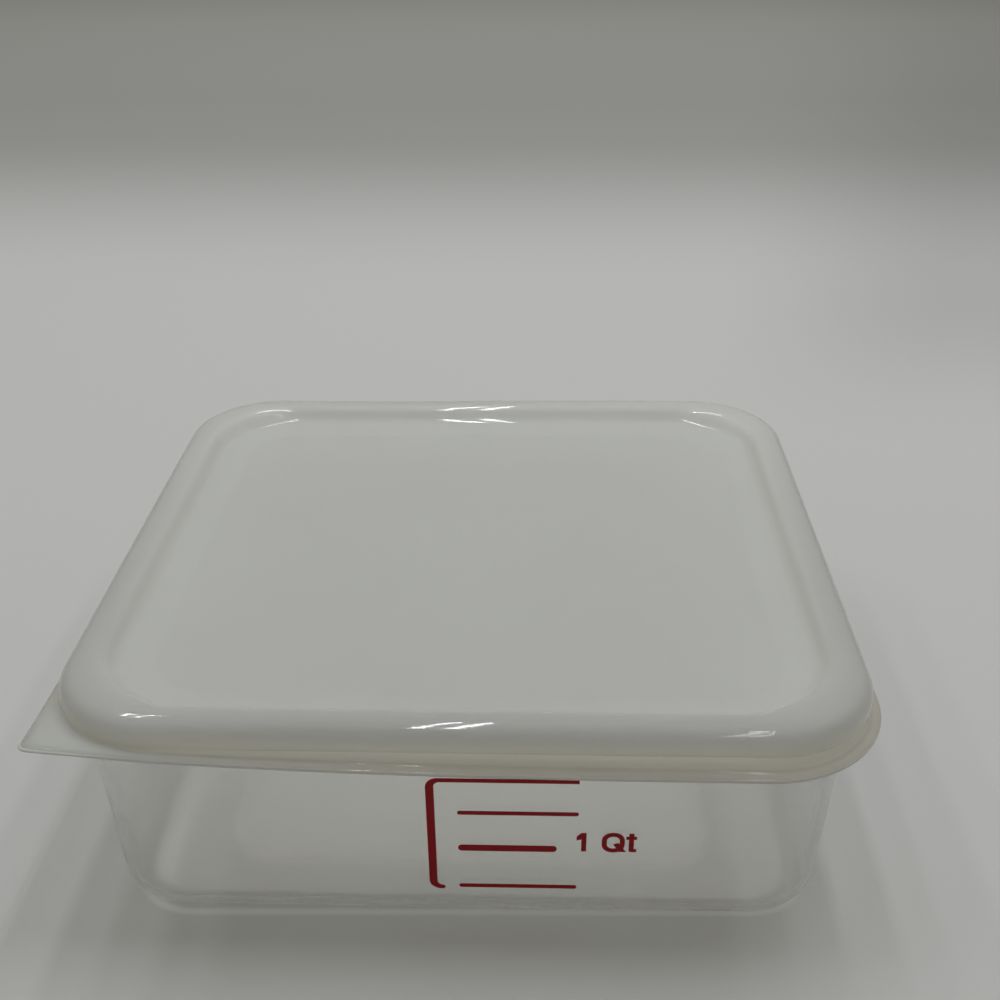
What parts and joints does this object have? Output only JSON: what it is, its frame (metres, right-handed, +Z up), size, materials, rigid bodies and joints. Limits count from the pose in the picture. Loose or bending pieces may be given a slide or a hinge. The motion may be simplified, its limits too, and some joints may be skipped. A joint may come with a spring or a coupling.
{
  "type": "food storage container",
  "caption": "Low square see-through food tub with a milky press-on lid, a corner pull tab and printed fill marks on its front wall.",
  "frame": {"origin": "centre of the underside of the foot, on the surface the container stands on", "axes": "+Z up, +X to the right when facing the marked front wall, which looks towards -Y"},
  "size_m": [0.2231, 0.2111, 0.0725],
  "materials": {
    "clear_tub": "clear, slightly hazy injection-moulded plastic, glossy",
    "milky_lid": "soft milky translucent polyethylene with a satin sheen",
    "red_ink": "dark red screen-printed ink"
  },
  "bodies": {
    "tub": {"container": "clear_tub", "bracket_mark": "red_ink", "upper_line": "red_ink", "middle_line": "red_ink", "lower_line": "red_ink", "capacity_figure": "red_ink"},
    "lid": {"lid": "milky_lid"},
    "pull_tab": {"pull_tab": "milky_lid"}
  },
  "joints": [
    {"name": "lid_lift", "type": "slide", "parent": "tub", "child": "lid", "axis": [0, 0, 1], "range_m": [0, 0.08]},
    {"name": "tab_flex", "type": "hinge", "parent": "lid", "child": "pull_tab", "pos_m": [-0.10261, -0.09661, 0.0609], "axis": [-0.7071, 0.7071, 0], "range_deg": [-10, 50], "stiffness_Nm_per_rad": 0.03}
  ]
}
